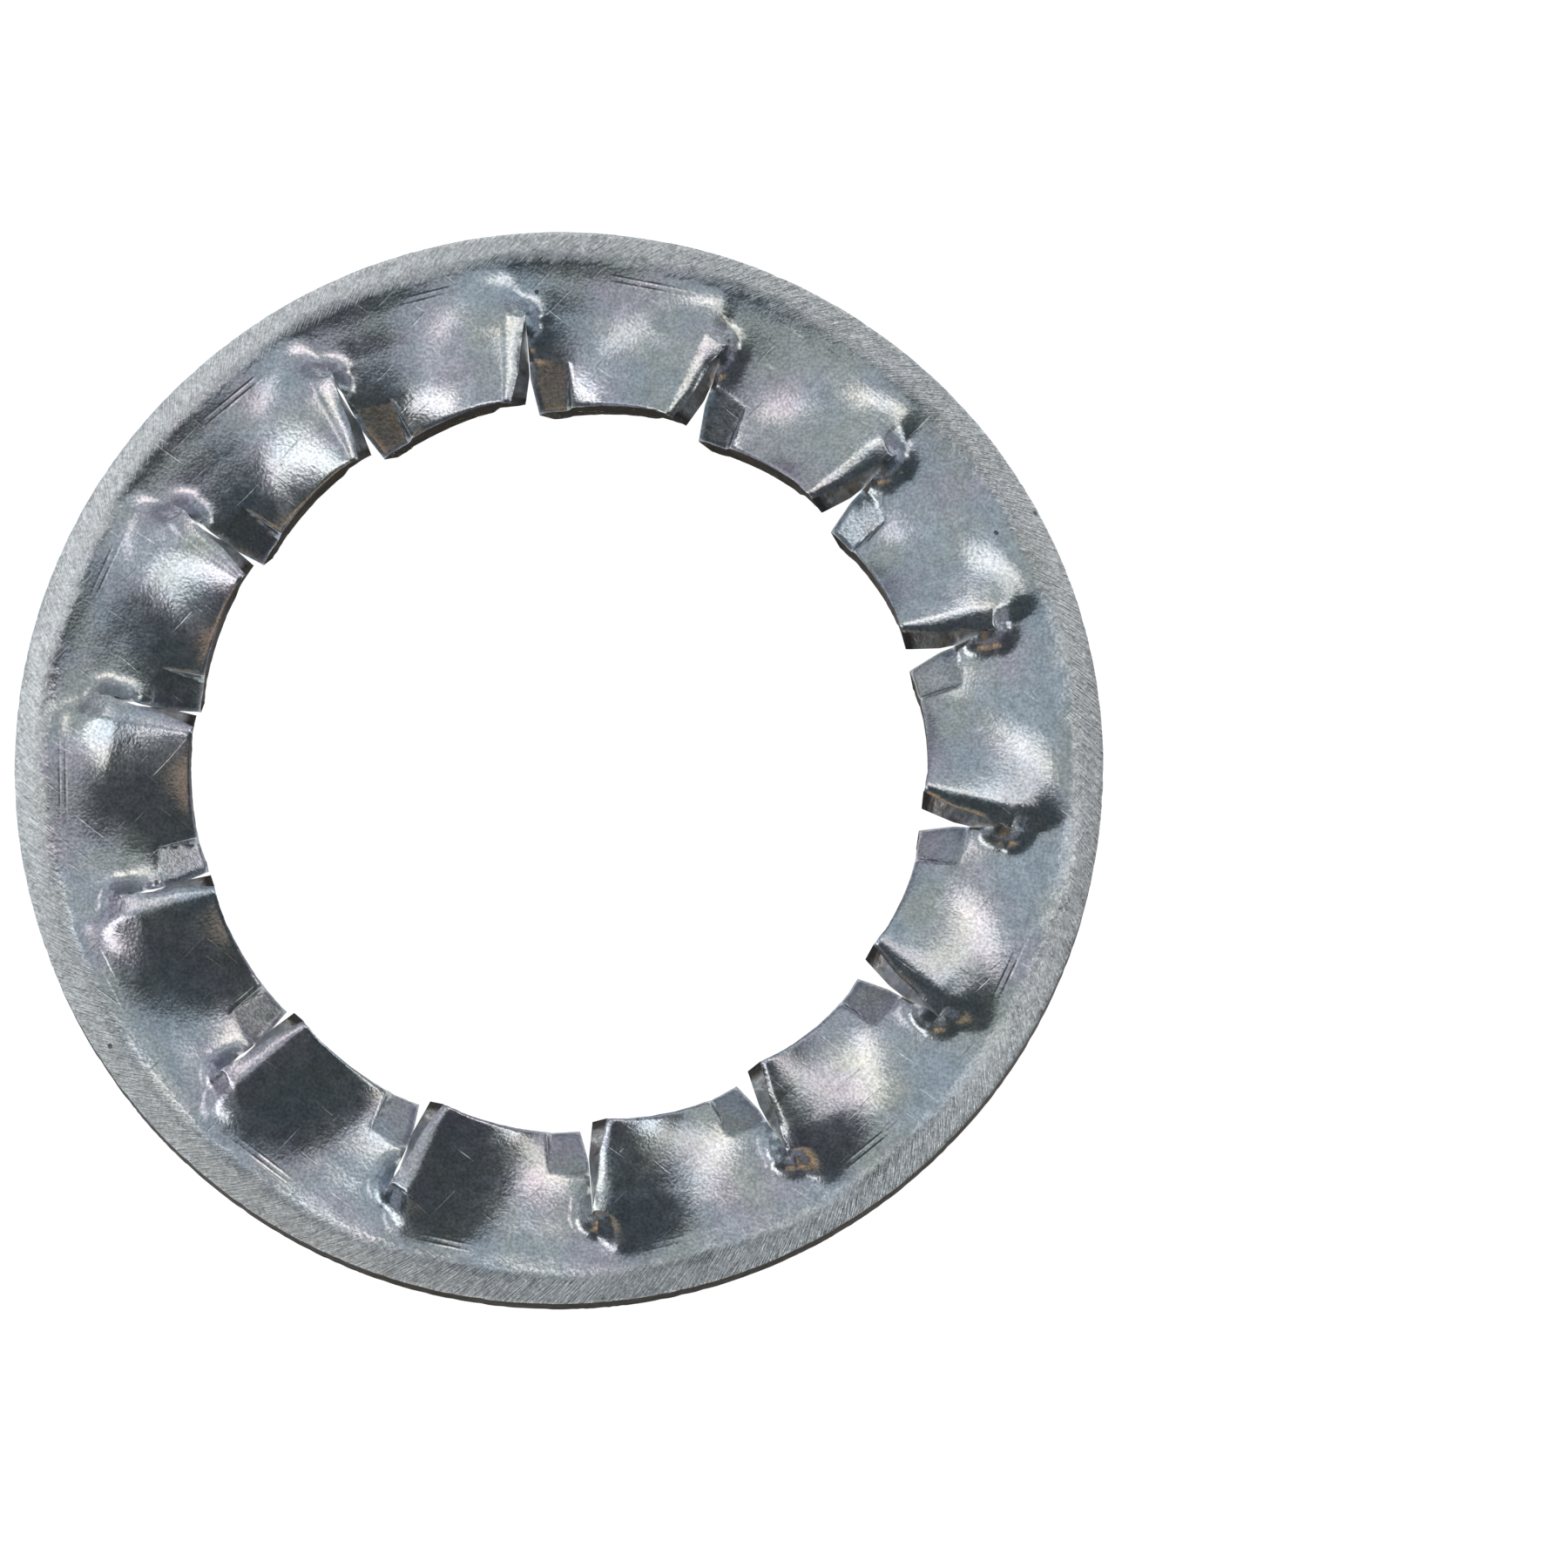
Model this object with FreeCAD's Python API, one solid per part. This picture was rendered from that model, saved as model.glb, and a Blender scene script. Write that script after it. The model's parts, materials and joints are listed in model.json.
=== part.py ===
import FreeCAD, Part
import math
import os

# Internal tooth lock washer for an M16 screw, lying flat with its axis on Z.
# It is one piece of spring steel sheet. A ring is blanked, its bore side is slit into teeth,
# and each tooth is twisted about its own radial centreline: its clockwise end, seen from above,
# stands up and its other end hangs down, so that the washer bites on both sides.
# Millimetres. The origin is on the axis, halfway up the flat rim.

# ring
outer_diameter = 25.8
bore_diameter = 17.3
sheet_thickness = 1.2
rim_band_width = 0.65
rim_edge_width = 0.12
rim_edge_depth = 0.06

# teeth
tooth_count = 14
tooth_lift = 0.8
raised_end_fade = 0.26
low_end_fade = 0.86
fade_share = 1.225
slit_length = 2.05
slit_gap = 0.04
slit_mouth_gap = 0.33
slit_mouth_length = 0.8
slit_closing = 0.4
end_face_run = 0.35

# long bend between each tooth and the ring
bend_width = 1.74
bend_drift = 0.44

# shoulder round each raised corner, with the wall below it that runs on from the slit;
# the first three are shares of the ring between the slits' roots and the rim band
shoulder_start = 0.2
shoulder_drift = 0.26
outer_wall_width = 0.38
shoulder_share = 0.3
wall_top = 0.3
wall_width = 0.32
wall_foot_width = 0.6

# thinner zone inside the rim band
zone_thinning = 0.035
zone_width = 0.5

# flat struck into each tooth end by the tool
flat_length = 1.15
flat_width = 0.95
flat_slope_inward = 0.45
flat_slope_along = 0.15
flat_depth = 0.02
flat_block_height = 0.5

# drawing of the surfaces
bore_allowance = 0.1
columns_per_tooth = 10
rows_per_tooth = 4
rows_per_bend = 5
column_crowding = 0.45
surface_degree = 3

outer_radius = outer_diameter / 2
bore_radius = bore_diameter / 2
inner_radius = bore_radius - bore_allowance
slit_root_radius = bore_radius + slit_length
band_radius = outer_radius - rim_band_width
ring_width = band_radius - slit_root_radius
half_thickness = sheet_thickness / 2
tooth_angle = 2 * math.pi / tooth_count


def smooth_step(value):
    """Rise from 0 to 1 with level ends."""
    held = min(max(value, 0.0), 1.0)
    return held * held * (3 - 2 * held)


def blend(start, end, share):
    return start + (end - start) * share


def twist_height(radius, share):
    """Height that the twist gives the sheet; share is 0 at a tooth's raised end and 1 at its low end."""
    fade = blend(raised_end_fade, low_end_fade, smooth_step(share / fade_share))
    return tooth_lift * math.cos(math.pi * share) * math.exp(-fade * (radius - bore_radius))


def long_bend(radius, share):
    """How far the sheet has come down to the flat rim, from 0 on the tooth to 1 at the rim band."""
    bend_start = band_radius - bend_width + bend_drift * smooth_step(share)
    return smooth_step((max(radius - bend_start, 0) / (band_radius - bend_start)) ** 0.75)


def bent_height(radius, share):
    return twist_height(radius, share) * (1 - long_bend(radius, share))


def shoulder_height(radius, share):
    """Height of a raised end, which hardly bends before it reaches its shoulder."""
    return twist_height(radius, share) * (1 - long_bend(radius, share) * smooth_step(share / shoulder_share))


def held_up(radius, share, from_slit):
    """How much of the raised end's height is left, from 1 on top of its shoulder to 0 at the wall's foot."""
    place = (radius - slit_root_radius) / ring_width
    past_crest = place - shoulder_start - shoulder_drift * smooth_step(share / shoulder_share)
    beyond = math.hypot(max(wall_top - from_slit, 0), max(past_crest * ring_width, 0))
    grown = min(max(place / shoulder_start, 0), 1)
    width = blend(wall_width, outer_wall_width * ring_width, grown)
    return (1 - min(beyond / width, 1)) ** 1.4


def sheet_height(radius, share, side):
    """Height of the middle of the sheet, with the wall between a raised end and the low end beside it."""
    own = bent_height(radius, share)
    if share < 0.5:
        from_slit = share * tooth_angle * radius
        foot = blend(bent_height(radius, 1), own, smooth_step(from_slit / wall_foot_width))
        walled = blend(foot, shoulder_height(radius, share), held_up(radius, share, from_slit))
    else:
        from_slit = (share - 1) * tooth_angle * radius
        walled = blend(own, shoulder_height(radius, 0), held_up(radius, 0, from_slit))
    if (share < 0.5) == (side > 0):
        return walled
    closing = smooth_step((radius - slit_root_radius + slit_closing) / slit_closing)
    return blend(own, walled, closing)


def surface_height(radius, share, side):
    """Height of the upper surface (side 1) or the lower surface (side -1)."""
    thinning = zone_thinning * math.sin(math.pi / 2 * min((band_radius - radius) / zone_width, 1))
    return sheet_height(radius, share, side) + side * (half_thickness - thinning)


def end_setbacks(radius, side):
    """How far a tooth's raised and low ends stand back from the slit lines, on one surface."""
    mouth = 1 - (radius - bore_radius) / slit_mouth_length
    gap = max(blend(slit_gap, slit_mouth_gap, mouth), slit_gap)
    opening = smooth_step((slit_root_radius - radius) / slit_closing)
    closed = gap / 2 * opening
    run = end_face_run * opening
    if side > 0:
        return closed + run, closed
    return closed, closed + run


def clamped_knots(pole_count):
    """Even knots from 0 to 1 for a curve that ends on its first and last poles."""
    spans = pole_count - surface_degree
    knots = [number / spans for number in range(spans + 1)]
    return knots, [surface_degree + 1] + [1] * (spans - 1) + [surface_degree + 1]


def pole_places(pole_count):
    """Where along a curve from 0 to 1 each pole belongs."""
    knots, counts = clamped_knots(pole_count)
    full = [knot for knot, count in zip(knots, counts) for _ in range(count)]
    return [sum(full[number + 1:number + 1 + surface_degree]) / surface_degree for number in range(pole_count)]


def across_tooth(pole_count):
    """Shares across a tooth, closer together at its ends, where the form changes fastest."""
    return [place - column_crowding * math.sin(2 * math.pi * place) / (2 * math.pi)
            for place in pole_places(pole_count)]


def surface_rows(radii, side):
    """Poles of the upper or lower surface over one tooth's sector, one row for each radius."""
    rows = []
    for radius in radii:
        raised_end, low_end = end_setbacks(radius, side)
        first = raised_end / radius
        last = tooth_angle - low_end / radius
        row = []
        for share in across_tooth(columns_per_tooth):
            angle = blend(first, last, share)
            height = surface_height(radius, angle / tooth_angle, side)
            row.append(FreeCAD.Vector(radius * math.cos(angle), radius * math.sin(angle), height))
        rows.append(row)
    return rows


def surface_face(rows):
    """Smooth face through rows of poles; two rows only give a ruled face."""
    across_degree = min(surface_degree, len(rows) - 1)
    if across_degree == 1:
        row_knots, row_counts = [0.0, 1.0], [2, 2]
    else:
        row_knots, row_counts = clamped_knots(len(rows))
    column_knots, column_counts = clamped_knots(len(rows[0]))
    surface = Part.BSplineSurface()
    surface.buildFromPolesMultsKnots(
        rows, row_counts, column_counts, row_knots, column_knots, False, False, across_degree, surface_degree)
    return surface.toShape()


def edge_curve(poles):
    knots, counts = clamped_knots(len(poles))
    curve = Part.BSplineCurve()
    curve.buildFromPolesMultsKnots(poles, counts, knots, False, surface_degree)
    return curve.toShape()


def around(shape, number):
    """Copy of a shape, turned about the axis by a number of teeth."""
    copy = shape.copy()
    copy.rotate(FreeCAD.Vector(0, 0, 0), FreeCAD.Vector(0, 0, 1), math.degrees(tooth_angle) * number)
    return copy


def row_radii(start, end, row_count):
    return [blend(start, end, place) for place in pole_places(row_count)]


def rim_plane(inner_edges, height):
    """Flat rim band, between the pressed zone and the outer edge."""
    centre = FreeCAD.Vector(0, 0, height)
    outline = Part.Wire(Part.Circle(centre, FreeCAD.Vector(0, 0, 1), outer_radius - rim_edge_width).toShape())
    opening = Part.Wire(Part.sortEdges(inner_edges)[0])
    return Part.makeFace([outline, opening], "Part::FaceMakerBullseye")


def rim_side():
    """Outer edge of the ring, with the blanking roll on its two corners."""
    face_radius = outer_radius - rim_edge_width
    side_height = half_thickness - rim_edge_depth
    places = ((face_radius, half_thickness), (outer_radius, side_height),
              (outer_radius, -side_height), (face_radius, -half_thickness))
    corners = [FreeCAD.Vector(radius, 0, height) for radius, height in places]
    lines = [Part.makeLine(start, end) for start, end in zip(corners, corners[1:])]
    return [line.revolve(FreeCAD.Vector(0, 0, 0), FreeCAD.Vector(0, 0, 1), 360) for line in lines]


def formed_blank():
    """The whole washer before the bore is trimmed and the flats are struck."""
    tooth_radii = row_radii(inner_radius, slit_root_radius, rows_per_tooth)
    bend_radii = row_radii(slit_root_radius, band_radius, rows_per_bend)
    tooth_rows = [surface_rows(tooth_radii, side) for side in (1, -1)]
    bend_rows = [surface_rows(bend_radii, side) for side in (1, -1)]
    sector = [surface_face(rows) for rows in tooth_rows + bend_rows]
    sector.append(surface_face([rows[0] for rows in tooth_rows]))
    for end in (0, -1):
        sector.append(surface_face([[row[end] for row in rows] for rows in tooth_rows]))
    faces = [around(face, number) for number in range(tooth_count) for face in sector]
    for rows in bend_rows:
        edge = edge_curve(rows[-1])
        faces.append(rim_plane([around(edge, number) for number in range(tooth_count)], rows[-1][0].z))
    shell = Part.makeShell(faces + rim_side())
    shell.sewShape()
    return Part.makeSolid(shell)


def flat_block():
    """Block whose lower face is the flat struck on top of a tooth's low end."""
    edge_radius = bore_radius + flat_length
    middle = 1 - flat_width / 2 / (edge_radius * tooth_angle)
    height = surface_height(edge_radius, middle, 1) - flat_depth
    corners = []
    for inward, along in ((0, 0), (0, 1), (1, 1), (1, 0)):
        across = inward * (flat_length + bore_allowance)
        drop = across * flat_slope_inward + (0.5 - along) * flat_width * flat_slope_along
        corners.append(FreeCAD.Vector(edge_radius - across, -along * flat_width, height - drop))
    face = Part.Face(Part.makePolygon(corners + corners[:1]))
    return around(face.extrude(FreeCAD.Vector(0, 0, flat_block_height)), 1)


def turned_over(shape):
    """The same shape, turned half round the radial line through the middle of its tooth."""
    copy = shape.copy()
    middle_line = FreeCAD.Vector(math.cos(tooth_angle / 2), math.sin(tooth_angle / 2), 0)
    copy.rotate(FreeCAD.Vector(0, 0, 0), middle_line, 180)
    return copy


tool_height = 2 * (sheet_thickness + 2 * tooth_lift)
bore_tool = Part.makeCylinder(bore_radius, tool_height, FreeCAD.Vector(0, 0, -tool_height / 2))
tooth_blocks = (flat_block(), turned_over(flat_block()))
blocks = [around(block, number) for number in range(tooth_count) for block in tooth_blocks]
washer = formed_blank().cut([bore_tool] + blocks)

os.makedirs("parts", exist_ok=True)
washer.exportStep("parts/lock_washer.step")
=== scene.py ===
import json
import math
import bmesh
import bpy
from mathutils import Matrix, Vector, noise


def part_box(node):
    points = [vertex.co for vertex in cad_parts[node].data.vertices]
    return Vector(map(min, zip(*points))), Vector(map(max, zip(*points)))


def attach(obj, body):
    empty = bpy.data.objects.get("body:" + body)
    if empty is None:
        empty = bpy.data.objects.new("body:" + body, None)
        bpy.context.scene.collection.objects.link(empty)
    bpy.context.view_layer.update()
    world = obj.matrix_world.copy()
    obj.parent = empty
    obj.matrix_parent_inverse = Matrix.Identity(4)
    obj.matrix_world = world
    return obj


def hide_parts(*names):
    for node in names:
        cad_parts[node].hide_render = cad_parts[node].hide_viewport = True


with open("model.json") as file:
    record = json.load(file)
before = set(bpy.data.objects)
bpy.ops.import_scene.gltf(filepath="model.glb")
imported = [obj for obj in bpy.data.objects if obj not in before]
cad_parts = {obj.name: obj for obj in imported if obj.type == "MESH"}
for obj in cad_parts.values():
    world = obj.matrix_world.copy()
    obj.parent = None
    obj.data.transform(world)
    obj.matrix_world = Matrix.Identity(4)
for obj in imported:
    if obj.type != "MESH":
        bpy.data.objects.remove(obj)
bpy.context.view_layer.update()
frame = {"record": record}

# Lock washer
# One ring of 1.2 mm spring steel strip, blanked with its bore side slit into 14 teeth. A tool twists
# every tooth about its own radial line, so that its clockwise end stands up and its other end hangs
# down, and strikes a small flat on each low end from above and on each raised end from below.
millimetre = 0.001
low_corner, high_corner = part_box("lock_washer")
mounts = {mount["name"]: mount for mount in frame["record"]["mounts"]}
outer_radius = (high_corner[0] - low_corner[0]) / 2 / millimetre
bore_radius = mounts["bore"]["dims"]["r_mm"]
half_sheet = mounts["upper_rim"]["pos_m"][2] / millimetre

# the teeth; their bore edges are slightly hollow, and their twist fades outward
bore_hollow = 0.09
tooth_count = 14
tooth_angle = 2 * math.pi / tooth_count
tooth_lift = 0.8
raised_end_fade = 0.26
low_end_fade = 0.86
fade_share = 1.225

# the long bend between a tooth and the ring, and the shoulder and wall round the raised corner;
# a width grows by its growth over each millimetre outward
bend_start = 10.51
bend_drift = 0.44
bend_end = 11.78
bend_spread = 1.16
bend_spread_share = 0.15
bend_power = 0.75
shoulder_radius = 10.82
shoulder_drift = 0.4
shoulder_share = 0.3
wall_top = 0.08
wall_width = 0.72
wall_growth = 0.8
wall_power = 2.4
wall_foot_width = 0.6

# the slits, the slanting end face that widens each one towards the bore, and the strip beside it
slit_length = 2.05
slit_root_radius = bore_radius + slit_length
slit_gap = 0.015
slit_mouth_gap = 0.31
slit_mouth_length = 0.8
slit_closing = 0.8
end_face_run = 0.35
end_face_power = 0.7
edge_strip_width = 0.2
edge_strip_growth = 0.11
edge_strip_slope = 0.27
edge_strip_ending = 0.3

# the rim band and the dished zone inside it
band_radius = 12.27
band_wave = 0.1
band_lean = 0.17
band_softness = 0.35
zone_thinning = 0.06
zone_width = 0.65

# the flats
flat_length = 1.15
flat_width = 0.95
flat_slope_inward = 0.5
flat_slope_along = 0.15
flat_depth = 0.02
flat_step_gap = 0.012
flat_wall_slope = 2.2

# the rolled edges of the sheet, which are smaller at the bore and the rim
edge_roll_width = 0.2
edge_roll_depth = 0.17
edge_roll_end = 0.82
rim_roll_share = 0.18
bore_roll_share = 0.5

# the grid that draws a tooth, crowded where the form changes fastest
edge_columns = 15
edge_crowding = 0.12
middle_columns = 23
columns = 2 * edge_columns + middle_columns + 2
tooth_rows = 32
tooth_row_power = 1.3
ring_rows = 29
ring_crowding = 0.05

# which material each face gets
plated_slot = 0
sheared_slot = 1
struck_slot = 2


def smooth_step(value):
    held = min(max(value, 0.0), 1.0)
    return held * held * (3 - 2 * held)


def mix(start, end, share):
    return start + (end - start) * share


def twist_height(radius, share):
    """Height that the twist gives; share is 0 at a tooth's raised end and 1 at its low end."""
    fade = mix(raised_end_fade, low_end_fade, smooth_step(share / fade_share))
    return tooth_lift * math.cos(math.pi * share) * math.exp(-fade * (radius - bore_radius))


def long_bend(radius, share):
    """How far the sheet has come down to the flat ring, from 0 on the tooth to 1."""
    start = bend_start + bend_drift * smooth_step(share)
    end = bend_end + bend_spread * (1 - math.exp(-share / bend_spread_share))
    return smooth_step((max(radius - start, 0) / (end - start)) ** bend_power)


def bent_height(radius, share):
    return twist_height(radius, share) * (1 - long_bend(radius, share))


def shoulder_height(radius, share):
    """Height of a raised end, which hardly bends before it reaches its shoulder."""
    bend = long_bend(radius, share) * smooth_step(share / shoulder_share)
    return twist_height(radius, share) * (1 - bend)


def held_up(radius, share, from_slit):
    """How much of the raised end's height is left, from 1 on its shoulder to 0 at the wall's foot."""
    crest = shoulder_radius + shoulder_drift * smooth_step(share / shoulder_share)
    beyond = math.hypot(max(wall_top - from_slit, 0), max(radius - crest, 0))
    grown = min(max(radius, slit_root_radius), shoulder_radius) - slit_root_radius
    return (1 - min(beyond / (wall_width + wall_growth * grown), 1)) ** wall_power


def sheet_height(radius, share, side):
    """Height of the middle of the sheet, with the wall from a raised end to the low end beside it."""
    own = bent_height(radius, share)
    if share < 0.5:
        from_slit = share * tooth_angle * radius
        foot = mix(bent_height(radius, 1), own, smooth_step(from_slit / wall_foot_width))
        walled = mix(foot, shoulder_height(radius, share), held_up(radius, share, from_slit))
    else:
        from_slit = (share - 1) * tooth_angle * radius
        walled = mix(own, shoulder_height(radius, 0), held_up(radius, 0, from_slit))
    if (share < 0.5) == (side > 0):
        return walled
    return mix(own, walled, smooth_step((radius - slit_root_radius + slit_closing) / slit_closing))


def edge_strip(radius, from_slit):
    """Drop of the narrow strip along a raised end, which leans towards the slit."""
    outward = radius - bore_radius
    top_edge = mix(end_face_run + slit_mouth_gap / 2, wall_top, min(outward / slit_length, 1))
    ridge = top_edge + edge_strip_width + edge_strip_growth * outward
    past_shoulder = smooth_step((radius - shoulder_radius) / edge_strip_ending)
    ending = min(max(from_slit, 0) / wall_top, 1) * (1 - past_shoulder)
    return edge_strip_slope * max(ridge - max(from_slit, top_edge), 0) * ending


def rolled(from_edge):
    """Drop of the surface beside an edge, the greater part of a quarter of an oval."""
    inside = edge_roll_end * (1 - min(max(from_edge, 0) / edge_roll_width, 1))
    return edge_roll_depth * (1 - math.sqrt(1 - inside * inside))


def surface_height(radius, share, side):
    """Height of the upper surface (side 1) or the lower surface (side -1)."""
    band = band_radius + band_wave * math.cos(2 * math.pi * share)
    thinning = zone_thinning * math.sin(math.pi / 2 * min(max((band - radius) / zone_width, 0), 1))
    past_band = max(radius - band + band_softness / 2, 0)
    leaning = min(past_band, band_softness) ** 2 / (2 * band_softness)
    leaning += max(past_band - band_softness, 0)
    half = half_sheet - thinning - band_lean * leaning
    from_slit = (share if side > 0 else 1 - share) * tooth_angle * radius
    return sheet_height(radius, share, side) + side * (half - edge_strip(radius, from_slit))


def slit_opening(radius):
    """How far a slit has opened, from 0 at its root to 1."""
    return smooth_step((slit_root_radius - radius) / slit_closing)


def end_setbacks(radius, side):
    """How far a tooth's raised and low ends stand back from the slit lines, on one surface."""
    mouth = 1 - (radius - bore_radius) / slit_mouth_length
    closed = max(mix(slit_gap, slit_mouth_gap, mouth), slit_gap) / 2 * slit_opening(radius)
    run = end_face_run * min(max((slit_root_radius - radius) / slit_length, 0), 1) ** end_face_power
    if side > 0:
        return closed + run, closed
    return closed, closed + run


def flat_height(radius, from_slit, side):
    """Plane of the flat struck into a low end from above, or into a raised end from below."""
    edge_radius = bore_radius + flat_length
    from_end = flat_width / 2 / (edge_radius * tooth_angle)
    middle = 1 - from_end if side > 0 else from_end
    edge_height = side * surface_height(edge_radius, middle, side) - flat_depth
    inward = (edge_radius - radius) * flat_slope_inward
    along = (flat_width / 2 - from_slit) * flat_slope_along
    return edge_height - inward - along


def column_place(column, radius, side):
    """Distance of a column from the slit line before it; two pairs of columns draw the flats' sides."""
    pitch = tooth_angle * radius
    raised_end, low_end = end_setbacks(radius, side)
    from_end = min(column, columns - column) / edge_columns
    crowded = from_end - edge_crowding * math.sin(2 * math.pi * from_end)
    if column <= edge_columns:
        return mix(raised_end, flat_width - flat_step_gap / 2, crowded)
    if column >= columns - edge_columns:
        return pitch - mix(low_end, flat_width - flat_step_gap / 2, crowded)
    across = (column - edge_columns - 1) / middle_columns
    return mix(flat_width + flat_step_gap / 2, pitch - flat_width - flat_step_gap / 2, across)


# blank of one tooth, in shares: X across the tooth, Y out from the bore, Z through the sheet
blank = bmesh.new()
bmesh.ops.create_grid(blank, x_segments=columns, y_segments=tooth_rows + ring_rows, size=0.5)
bmesh.ops.translate(blank, verts=blank.verts, vec=(0.5, 0.5, -0.5))
sheet = bmesh.ops.extrude_face_region(blank, geom=blank.faces[:])
upper_points = [item for item in sheet["geom"] if isinstance(item, bmesh.types.BMVert)]
bmesh.ops.translate(blank, verts=upper_points, vec=(0, 0, 1))

# outside the slits the teeth are one sheet, so no walls are left between them
root_share = tooth_rows / (tooth_rows + ring_rows)
joined_walls = [face for face in blank.faces
                if abs(face.normal.x) > 0.5 and face.calc_center_median().y > root_share]
bmesh.ops.delete(blank, geom=joined_walls, context="FACES")
for face in blank.faces:
    face.material_index = plated_slot if abs(face.normal.z) > 0.5 else sheared_slot

# forming: each point of the blank goes to its place on the twisted tooth
struck_points = set()
for point in blank.verts:
    column = round(point.co.x * columns)
    row = round(point.co.y * (tooth_rows + ring_rows))
    side = 1 if point.co.z > 0 else -1
    hollow_bore = bore_radius + bore_hollow * math.sin(math.pi * column / columns)
    if row <= tooth_rows:
        radius = mix(hollow_bore, slit_root_radius, (row / tooth_rows) ** tooth_row_power)
    else:
        outward = (row - tooth_rows) / ring_rows
        crowded = outward - ring_crowding * math.sin(2 * math.pi * outward)
        radius = mix(slit_root_radius, outer_radius, crowded)
    place = column_place(column, radius, side)
    height = surface_height(radius, place / radius / tooth_angle, side)
    from_end = tooth_angle * radius - place if side > 0 else place
    if from_end < flat_width and radius < bore_radius + flat_length:
        step_wall = side * height - (flat_width - from_end) * flat_wall_slope
        height = side * min(side * height, max(flat_height(radius, from_end, side), step_wall))
        struck_points.add(point)
    raised_end, low_end = end_setbacks(radius, side)
    from_ends = min(place - raised_end, tooth_angle * radius - low_end - place)
    rim_drop = rolled((outer_radius - radius) / rim_roll_share) * rim_roll_share
    bore_drop = rolled((radius - hollow_bore) / bore_roll_share) * bore_roll_share
    end_drop = rolled(from_ends) * slit_opening(radius)
    height -= side * min(bore_drop + end_drop + rim_drop, edge_roll_depth)
    point.co = (radius * math.cos(place / radius), radius * math.sin(place / radius), height)

for face in blank.faces:
    if face.material_index == plated_slot and struck_points.issuperset(face.verts):
        face.material_index = struck_slot

# ring of teeth
merge_distance = 0.0008
washer = bmesh.new()
piece_mesh = bpy.data.meshes.new("lock_washer_formed")
blank.to_mesh(piece_mesh)
blank.free()
for number in range(tooth_count):
    tooth = piece_mesh.copy()
    tooth.transform(Matrix.Rotation(number * tooth_angle, 4, "Z"))
    washer.from_mesh(tooth)
    bpy.data.meshes.remove(tooth)
bmesh.ops.remove_doubles(washer, verts=washer.verts, dist=merge_distance)
bmesh.ops.recalc_face_normals(washer, faces=washer.faces)

# the press leaves the sheet slightly uneven, and the blanking tool leaves its edges slightly ragged
unevenness = 0.012
unevenness_size = 1.7
raggedness = 0.026
raggedness_size = 0.22
ragged_reach = 0.4
rim_tolerance = 0.001
for point in washer.verts:
    spot = Vector((point.co.x, point.co.y, 0))
    radius = spot.length
    ragged = raggedness * abs(noise.noise(spot / raggedness_size))
    if radius > outer_radius - rim_tolerance:
        point.co.xy *= (radius - ragged) / radius
    bore_share = max(1 - (radius - bore_radius) / ragged_reach, 0)
    point.co.xy *= (radius + ragged * bore_share) / radius
    point.co.z += unevenness * noise.noise(spot / unevenness_size)

# only the cut edges and the steps round the flats are sharp
step_angle = 0.6
for face in washer.faces:
    face.smooth = True
for edge in washer.edges:
    slots = {face.material_index for face in edge.link_faces}
    cut_edge = sheared_slot in slots and len(slots) > 1
    step_edge = struck_slot in slots and edge.calc_face_angle() >= step_angle
    edge.smooth = not (cut_edge or step_edge)
bmesh.ops.scale(washer, verts=washer.verts, vec=(millimetre, millimetre, millimetre))
washer.to_mesh(piece_mesh)
washer.free()
washer_piece = bpy.data.objects.new("lock_washer_formed", piece_mesh)
bpy.context.scene.collection.objects.link(washer_piece)


def linear(colour):
    """Linear values of an sRGB hex colour."""
    parts = [int(colour[place:place + 2], 16) / 255 for place in (1, 3, 5)]
    return [part / 12.92 if part <= 0.04045 else ((part + 0.055) / 1.055) ** 2.4 for part in parts] + [1]


def add_node(tree, kind, inputs=(), output=0, **settings):
    """Add a node, set its properties, link or set its inputs in order or by name; return an output."""
    node = tree.nodes.new("ShaderNode" + kind)
    for name, value in settings.items():
        setattr(node, name, value)
    named_inputs = inputs if isinstance(inputs, dict) else dict(enumerate(inputs))
    for name, value in named_inputs.items():
        if isinstance(value, bpy.types.NodeSocket):
            tree.links.new(value, node.inputs[name])
        else:
            node.inputs[name].default_value = value
    return node.outputs[output] if node.outputs else node


def new_tree(name):
    material = bpy.data.materials.new(name)
    material.use_nodes = True
    material.node_tree.nodes.clear()
    return material, material.node_tree


def washer_place(tree):
    """Place on the washer in millimetres from its centre, and its distance from the axis."""
    object_place = add_node(tree, "TexCoord", output=3)
    place = add_node(tree, "VectorMath", {0: object_place, 3: 1 / millimetre}, operation="SCALE")
    level_place = add_node(tree, "VectorMath", [place, (1, 1, 0)], operation="MULTIPLY")
    radius = add_node(tree, "VectorMath", [level_place], 1, operation="LENGTH")
    return place, radius


def layered(tree, ground, *layers):
    """Colour of the ground with other colours over it, each by its own share."""
    tint = linear(ground)
    for share, colour in layers:
        tint = add_node(tree, "Mix", {0: share, 6: tint, 7: linear(colour)}, 2, data_type="RGBA")
    return tint


# the patterns on the plating, in millimetres, radians and shares of a tooth; the zinc's real
# crystals are finer, and these are as coarse as they need to be to show
drift_size = 2.4
second_drift_size = 1.7
second_drift_shift = (31, 7, 3)
crystal_size = 0.07
mottle_size = 0.3
pit_size = 0.3
grain_start = 12.22
grain_full = 12.6
grain_waviness = 0.3
streak_width = 0.05
streak_length = 1 / 3
streak_slant = 1.1
mark_radii = (11.68, 11.82)
mark_width = 0.045
mark_middle = 0.38
scratch_turns = (0.5, 2.2)
scratches_stretch = (0.7, 12, 0)


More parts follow.
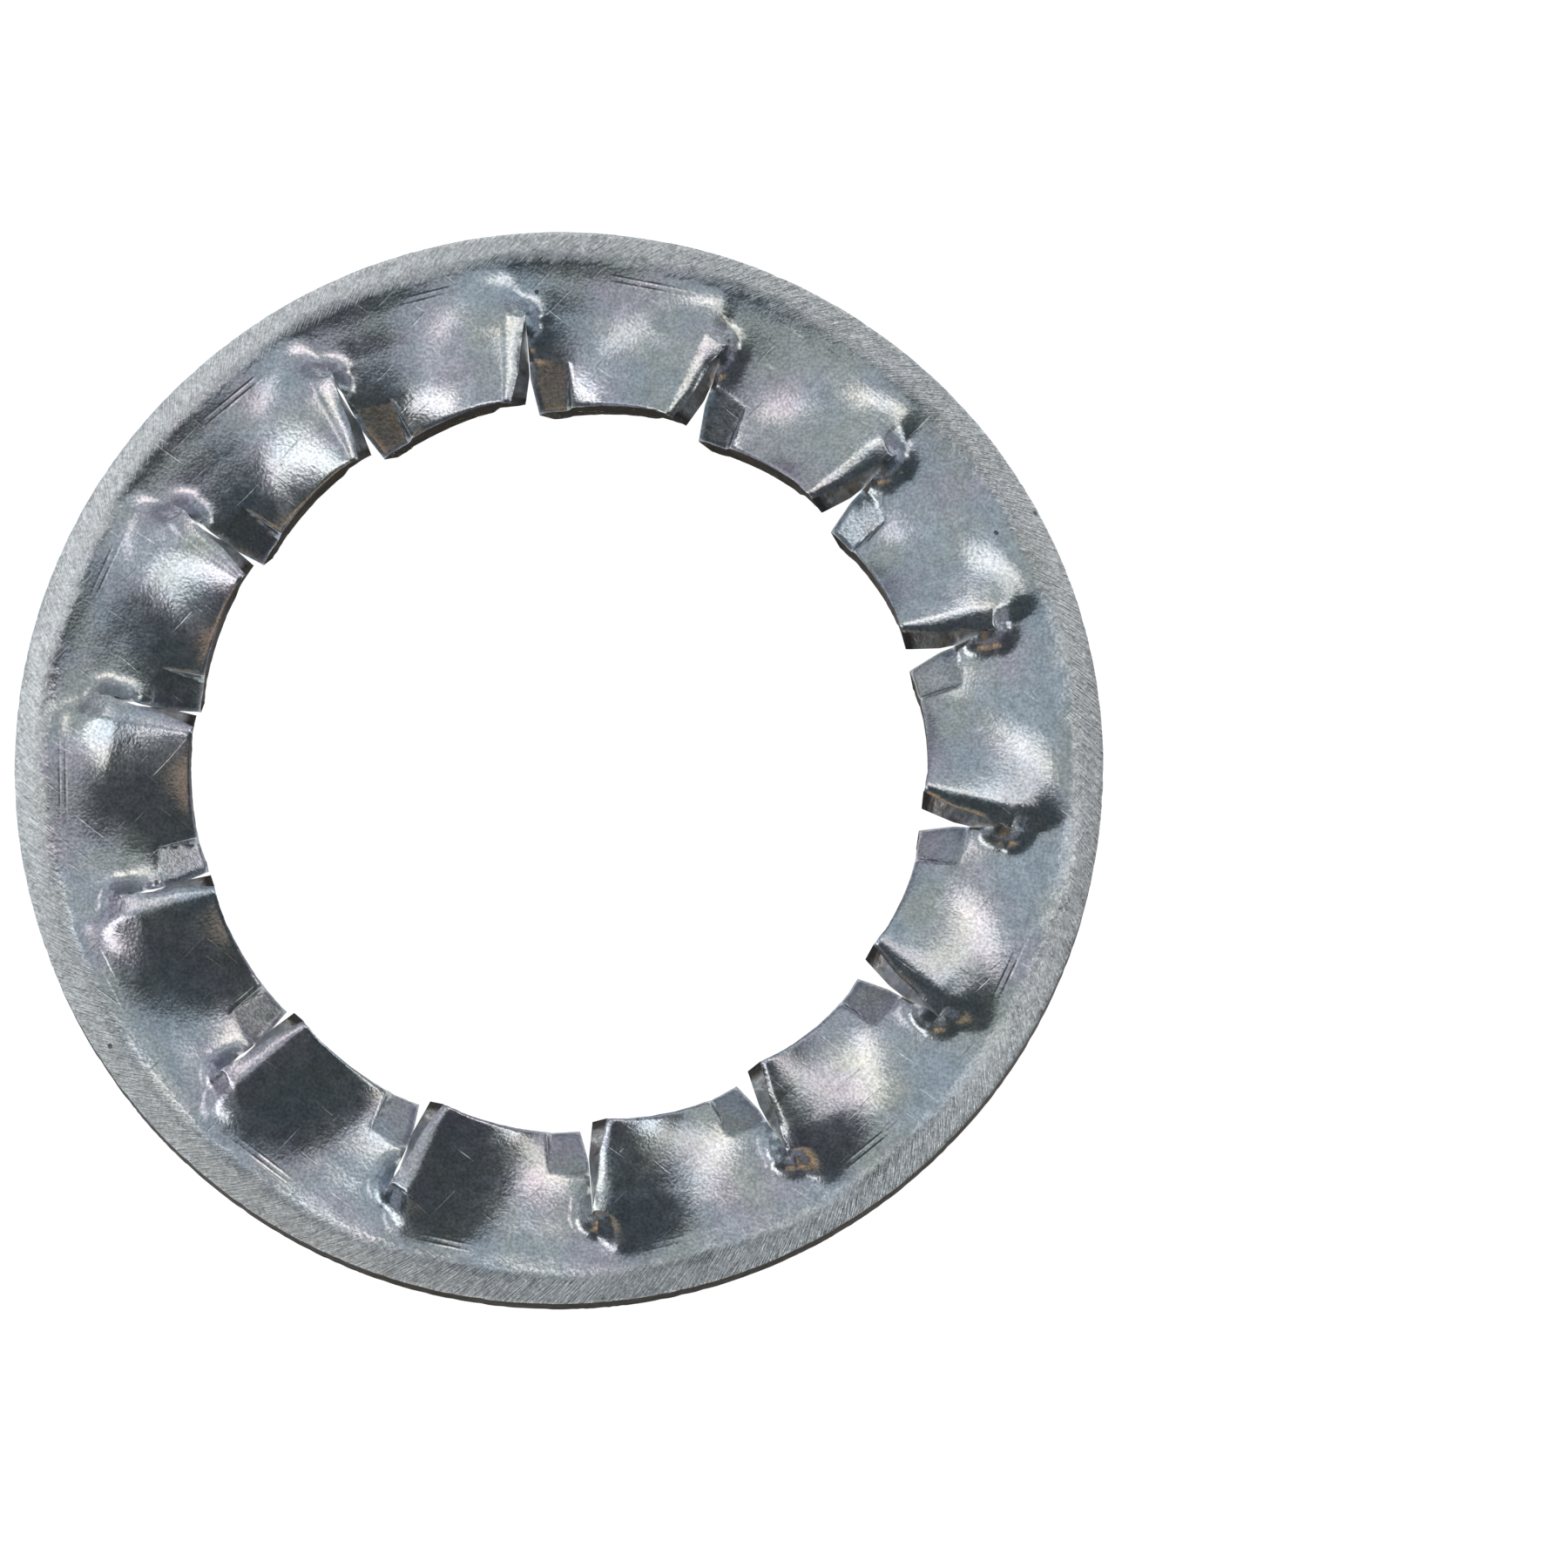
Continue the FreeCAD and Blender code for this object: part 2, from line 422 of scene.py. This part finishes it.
def zinc_tree(tree, brightness, dullness):
    """Nodes of a zinc plated surface."""
    place, radius = washer_place(tree)
    across, along = [add_node(tree, "SeparateXYZ", [place], number) for number in (0, 1)]
    turn = add_node(tree, "Math", [along, across], operation="ARCTAN2")
    teeth_past = add_node(tree, "Math", [turn, tooth_angle], operation="DIVIDE")
    share = add_node(tree, "Math", [teeth_past], operation="FRACT")

    # the film drifts between blue, violet and green, and the rim band stays paler
    drift = add_node(tree, "TexNoise", {"Vector": place, "Scale": 1 / drift_size})
    elsewhere = add_node(tree, "VectorMath", [place, second_drift_shift])
    second_drift = add_node(tree, "TexNoise", {"Vector": elsewhere, "Scale": 1 / second_drift_size})
    crystals = add_node(tree, "TexNoise", {"Vector": place, "Scale": 1 / crystal_size, "Detail": 1})
    mottle = add_node(tree, "TexNoise", {"Vector": place, "Scale": 1 / mottle_size, "Detail": 3})
    wavy_radius = add_node(tree, "Math", [mottle, grain_waviness, radius], operation="MULTIPLY_ADD")
    band = add_node(tree, "MapRange", [wavy_radius, grain_start, grain_full])
    violet = add_node(tree, "MapRange", [drift, 0.4, 0.62])
    green = add_node(tree, "MapRange", [second_drift, 0.45, 0.68])
    tint = layered(tree, "#C0CFD9", (violet, "#CECED8"), (green, "#C8D1CE"), (band, "#D2DADC"))

    # grain of the untouched rim band: short scratches left by the rolls, slanting across it
    arc = add_node(tree, "Math", [turn, outer_radius], operation="MULTIPLY")
    slant = add_node(tree, "Math", [radius, streak_slant, arc], operation="MULTIPLY_ADD")
    across_streaks = add_node(tree, "Math", [slant, 1 / streak_width], operation="MULTIPLY")
    along_streaks = add_node(tree, "Math", [radius, 1 / streak_length], operation="MULTIPLY")
    streak_place = add_node(tree, "CombineXYZ", [across_streaks, along_streaks])
    streaks = add_node(tree, "TexNoise", {"Vector": streak_place, "Scale": 1, "Detail": 3})
    streaks = add_node(tree, "Math", [streaks, band], operation="MULTIPLY")

    # the edge of the tool leaves a pair of straight marks across the outer end of some humps
    from_hump = add_node(tree, "Math", [share, mark_middle], operation="SUBTRACT")
    hump_turn = add_node(tree, "Math", [from_hump, tooth_angle], operation="MULTIPLY")
    straightening = add_node(tree, "Math", [hump_turn], operation="COSINE")
    straight_radius = add_node(tree, "Math", [radius, straightening], operation="MULTIPLY")
    marks = 0
    for mark_radius in mark_radii:
        past_mark = add_node(tree, "Math", [straight_radius, mark_radius], operation="SUBTRACT")
        from_mark = add_node(tree, "Math", [past_mark], operation="ABSOLUTE")
        mark = add_node(tree, "MapRange", [from_mark, mark_width, 0])
        marks = add_node(tree, "Math", [marks, mark], operation="ADD")
    for value, unmarked, marked in ((share, 0.18, 0.3), (share, 0.62, 0.45), (drift, 0.42, 0.6)):
        depth = add_node(tree, "MapRange", [value, unmarked, marked])
        marks = add_node(tree, "Math", [marks, depth], operation="MULTIPLY")

    # a few scratches and pits from the barrel in which the washers are plated
    scratches = 0
    for scratch_turn in scratch_turns:
        turned_place = add_node(tree, "VectorRotate", {0: place, 3: scratch_turn},
                                rotation_type="Z_AXIS")
        long_place = add_node(tree, "VectorMath", [turned_place, scratches_stretch],
                              operation="MULTIPLY")
        long_clouds = add_node(tree, "TexNoise", {"Vector": long_place, "Scale": 1, "Detail": 0})
        scratch = add_node(tree, "MapRange", [long_clouds, 0.76, 0.83])
        scratches = add_node(tree, "Math", [scratches, scratch], operation="ADD")
    specks = add_node(tree, "TexNoise", {"Vector": place, "Scale": 1 / pit_size, "Detail": 0})
    pits = add_node(tree, "MapRange", [specks, 0.88, 0.91])

    # each pattern's low and high end, and how bright the metal is there
    shade = add_node(tree, "Math", [pits, -0.7, brightness], operation="MULTIPLY_ADD")
    for pattern, low, high, darkest, brightest in ((crystals, 0.3, 0.7, 0.74, 1.18),
                                                   (mottle, 0.3, 0.7, 0.88, 1.08),
                                                   (streaks, 0.35, 0.6, 0.84, 1.2)):
        light = add_node(tree, "MapRange", [pattern, low, high, darkest, brightest])
        shade = add_node(tree, "Math", [shade, light], operation="MULTIPLY")
    tint = add_node(tree, "VectorMath", {0: tint, 3: shade}, operation="SCALE")

    # height of each pattern in millimetres
    relief = 0
    for pattern, height in ((mottle, 0.004), (crystals, 0.004), (streaks, 0.042), (marks, -0.01),
                            (scratches, -0.003), (pits, -0.03)):
        relief = add_node(tree, "Math", [pattern, height, relief], operation="MULTIPLY_ADD")
    bump = add_node(tree, "Bump", {"Height": relief, "Strength": 1, "Distance": millimetre})
    roughness = add_node(tree, "MapRange", [mottle, 0.3, 0.7, dullness, dullness + 0.08])
    roughness = add_node(tree, "Math", [band, 0.1, roughness], operation="MULTIPLY_ADD")
    shader = add_node(tree, "BsdfPrincipled",
                      {"Base Color": tint, "Metallic": 1, "Roughness": roughness, "Normal": bump})
    add_node(tree, "OutputMaterial", {"Surface": shader})


# zinc plated strip
# Zinc on cold-rolled strip, blue passivated: a soft shine that drifts in tint, broken up by the
# sparkle of the zinc crystals, with a duller rim band that no tool touched.
plated, tree = new_tree("zinc_plated_strip")
zinc_tree(tree, brightness=1, dullness=0.16)

# struck flats
# The same plating on the flats, where the tool has pressed the steel hard. They are drawn darker
# and duller than the humps.
struck, tree = new_tree("zinc_over_struck_steel")
zinc_tree(tree, brightness=0.76, dullness=0.2)

# sheared edge
# The tool tears the cut faces through the sheet: fine upright streaks in dull grey steel that
# takes little zinc, brown where the film is thin. All these greys and browns are painted paler than
# the steel, as painted light on the cut faces in the slits, where the teeth beside them would shade
# them. The rim and the wall of the bore are painted darkest, as painted shade, and stay dark where
# light grazes them, which is painted shade in their reflections.
torn_streak_width = 0.14
torn_streak_stretch = (1, 1, 0.15)
blotch_size = 0.8
# how far from the rim and the bore wall the painted shade on them begins and is full, in millimetres
rim_and_bore_shade_start = 0.35
rim_and_bore_shade_full = 0.15
half_ring = (outer_radius - bore_radius) / 2
ring_middle = (bore_radius + outer_radius) / 2
sheared, tree = new_tree("sheared_edge_under_thin_zinc")
place, radius = washer_place(tree)
upright = add_node(tree, "VectorMath", [place, torn_streak_stretch], operation="MULTIPLY")
streaks = add_node(tree, "TexNoise", {"Vector": upright, "Scale": 1 / torn_streak_width, "Detail": 3})
blotches = add_node(tree, "TexNoise", {"Vector": place, "Scale": 1 / blotch_size, "Detail": 3})
brown = add_node(tree, "MapRange", [blotches, 0.45, 0.68])
pale = add_node(tree, "MapRange", [streaks, 0.35, 0.65])
past_middle = add_node(tree, "Math", [radius, ring_middle], operation="SUBTRACT")
from_middle = add_node(tree, "Math", [past_middle], operation="ABSOLUTE")
rim_and_bore_shade = add_node(tree, "MapRange", [from_middle, half_ring - rim_and_bore_shade_start,
                                        half_ring - rim_and_bore_shade_full])
# painted light: the paler greys and browns of the cut faces in the slits; painted shade: the dark layer
# on the rim and the bore wall
tint = layered(tree, "#B4BABD", (brown, "#9E8870"), (pale, "#D8DADB"), (rim_and_bore_shade, "#62605D"))
# painted shade in the reflections of the rim and the bore wall where light grazes them
grazing = layered(tree, "#E6E8EA", (rim_and_bore_shade, "#787673"))
relief = add_node(tree, "Math", [blotches, 0.04], operation="MULTIPLY")
relief = add_node(tree, "Math", [streaks, 0.03, relief], operation="MULTIPLY_ADD")
bump = add_node(tree, "Bump", {"Height": relief, "Strength": 1, "Distance": millimetre})
shader = add_node(tree, "BsdfPrincipled", {"Base Color": tint, "Metallic": 1, "Roughness": 0.36,
                                           "Normal": bump, "Specular Tint": grazing})
add_node(tree, "OutputMaterial", {"Surface": shader})

# in the order of the slots that the faces use
for material in (plated, sheared, struck):
    piece_mesh.materials.append(material)
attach(washer_piece, "root")
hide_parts("lock_washer")

# Floor
# A sheet of white opal glass on the table, lit softly from below as for catalogue pictures. The
# washer lies loose on it.
floor_half_width = 0.6
floor_mesh = bpy.data.meshes.new("floor")
floor_shape = bmesh.new()
bmesh.ops.create_grid(floor_shape, x_segments=1, y_segments=1, size=floor_half_width)
bmesh.ops.translate(floor_shape, verts=floor_shape.verts, vec=(0, 0, low_corner[2]))
floor_shape.to_mesh(floor_mesh)
floor_shape.free()
floor = bpy.data.objects.new("floor", floor_mesh)
bpy.context.scene.collection.objects.link(floor)
opal, tree = new_tree("white_opal_glass")
shader = add_node(tree, "BsdfPrincipled", {"Base Color": linear("#7A7A7A"), "Roughness": 0.7,
                                           "Emission Color": linear("#FFFFFF"),
                                           "Emission Strength": 0.95})
add_node(tree, "OutputMaterial", {"Surface": shader})
floor_mesh.materials.append(opal)

# Studio light
# A panel of white cloth leans over the table from behind, and low strips of cloth stand round it.
# Narrow lamps on the right and left edge the teeth with light, small warm ones stand in front, and
# between them the studio stays dim, which gives the metal its dark parts.

# the washer lies turned in the picture, so the lamps and the camera are turned
photo_turn = math.radians(8.464)
turned = Matrix.Rotation(photo_turn, 4, "Z")


def add_lamp(name, compass, above, distance, width, height, brightness, colour="#FFFFFF", roll=0):
    """Area lamp that faces the washer, placed by degrees and metres; a mirror shows its brightness."""
    lamp = bpy.data.lights.new(name, "AREA")
    lamp.shape = "RECTANGLE"
    lamp.size = width
    lamp.size_y = height
    lamp.color = linear(colour)[:3]
    lamp.energy = brightness * math.pi * width * height
    stand = bpy.data.objects.new(name, lamp)
    stand.matrix_world = (turned @ Matrix.Rotation(math.radians(compass + 90), 4, "Z")
                          @ Matrix.Rotation(math.radians(90 - above), 4, "X")
                          @ Matrix.Translation((0, 0, distance))
                          @ Matrix.Rotation(math.radians(roll), 4, "Z"))
    bpy.context.scene.collection.objects.link(stand)


add_lamp("cloth_panel", 112, 58, 0.5, 1.5, 0.6, 0.52, "#F8FBFF")
add_lamp("low_cloth", 95, 13, 0.5, 1.3, 0.24, 0.3, "#F4EFFF")
add_lamp("low_right_cloth", 18, 13, 0.5, 0.9, 0.24, 0.3, "#F4EFFF")
add_lamp("low_left_cloth", 172, 13, 0.5, 0.9, 0.24, 0.3, "#F4EFFF")
add_lamp("low_front_cloth", 282, 12, 0.5, 1.6, 0.16, 0.2, "#F4EFFF")
add_lamp("right_lamp", 39, 47, 0.4, 0.42, 0.08, 0.95, "#FFEDE3", 27)
add_lamp("right_upper_lamp", 66, 61, 0.4, 0.2, 0.08, 1.4, "#FFEBE0", -17)
add_lamp("left_upper_lamp", 142, 60, 0.4, 0.14, 0.05, 1.5, "#FFEBE6", 38)
add_lamp("right_low_lamp", 8, 30, 0.4, 0.1, 0.1, 1.6)
add_lamp("left_lamp", 191, 49, 0.4, 0.3, 0.08, 2.1, "#FFF7F3", 54)
add_lamp("warm_front_lamp", 266, 42, 0.4, 0.3, 0.07, 0.36, "#FFD9AE")
add_lamp("warm_low_lamp", 262, 31, 0.4, 0.2, 0.05, 1.0, "#FFC586")
add_lamp("left_front_lamp", 228, 50, 0.4, 0.14, 0.12, 0.11)
world = bpy.data.worlds.new("dark_studio")
world.use_nodes = True
world.node_tree.nodes["Background"].inputs["Color"].default_value = linear("#54585B")
world.node_tree.nodes["Background"].inputs["Strength"].default_value = 1.0
bpy.context.scene.world = world
bpy.context.scene.view_settings.view_transform = "Standard"

# Camera
# A long lens, ten degrees off straight down; the washer lies left of the middle of the frame.
# Distances are in metres, and the width of the sensor is in millimetres.
camera_distance = 0.3
camera_raise = math.radians(80)
frame_width = 0.0372
target_right = 0.00533
target_down = 0.00039
camera_data = bpy.data.cameras.new("camera")
camera = bpy.data.objects.new("camera", camera_data)
bpy.context.scene.collection.objects.link(camera)
right = turned @ Vector((1, 0, 0))
back = turned @ Vector((0, -math.cos(camera_raise), math.sin(camera_raise)))
up = back.cross(right)
target = right * target_right - up * target_down
camera_place = Matrix.Translation(target + back * camera_distance)
camera.matrix_world = camera_place @ Matrix((right, up, back)).transposed().to_4x4()
camera_data.sensor_width = 36
camera_data.sensor_fit = "HORIZONTAL"
camera_data.lens = camera_data.sensor_width * camera_distance / frame_width
camera_data.clip_start = 0.01
bpy.context.scene.camera = camera
